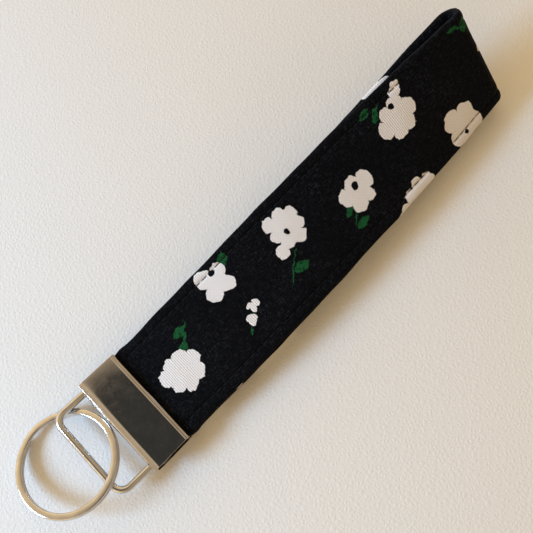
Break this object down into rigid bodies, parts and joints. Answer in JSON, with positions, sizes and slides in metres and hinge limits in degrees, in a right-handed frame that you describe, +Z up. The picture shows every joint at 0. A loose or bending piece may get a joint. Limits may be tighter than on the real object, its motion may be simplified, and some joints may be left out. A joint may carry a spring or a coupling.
{
  "type": "wristlet keychain",
  "caption": "Folded fabric wrist strap crimped in a metal end clamp, with a hinged wire bail and a split key ring.",
  "frame": {"origin": "centre of the end clamp's flat back face, which lies on the table", "axes": "+X along the strap from the split ring towards the fold, +Y across the strap, +Z up out of the table"},
  "size_m": [0.1856, 0.0349, 0.0279],
  "materials": {
    "nickel": "polished nickel plate, finely scratched",
    "wire": "polished nickel-plated steel wire",
    "ring_steel": "polished nickel-plated spring steel",
    "printed_cotton": "plain-weave quilting cotton, black with scattered white flowers",
    "interfacing": "non-woven fusible interfacing",
    "thread": "black polyester sewing thread"
  },
  "bodies": {
    "clamp": {"clamp": "nickel", "strap_end_upper": "printed_cotton", "strap_end_lower": "printed_cotton"},
    "strap": {"strap": "printed_cotton", "interfacing": "interfacing", "stitch_left": "thread", "stitch_right": "thread"},
    "bail": {"bail": "wire"},
    "ring": {"split_ring": "ring_steel"}
  },
  "joints": [
    {"name": "bail_swing", "type": "hinge", "parent": "clamp", "child": "bail", "pos_m": [-0.0035, 0, 0.0035], "axis": [0, 1, 0], "range_deg": [-28, 12]},
    {"name": "ring_swing", "type": "hinge", "parent": "bail", "child": "ring", "pos_m": [-0.01756, 0, 0.00548], "axis": [0, 1, 0], "range_deg": [0, 100]},
    {"name": "strap_flex", "type": "hinge", "parent": "clamp", "child": "strap", "pos_m": [0.0098, 0, 0.0035], "axis": [0, -1, 0], "range_deg": [-45, 45]}
  ]
}
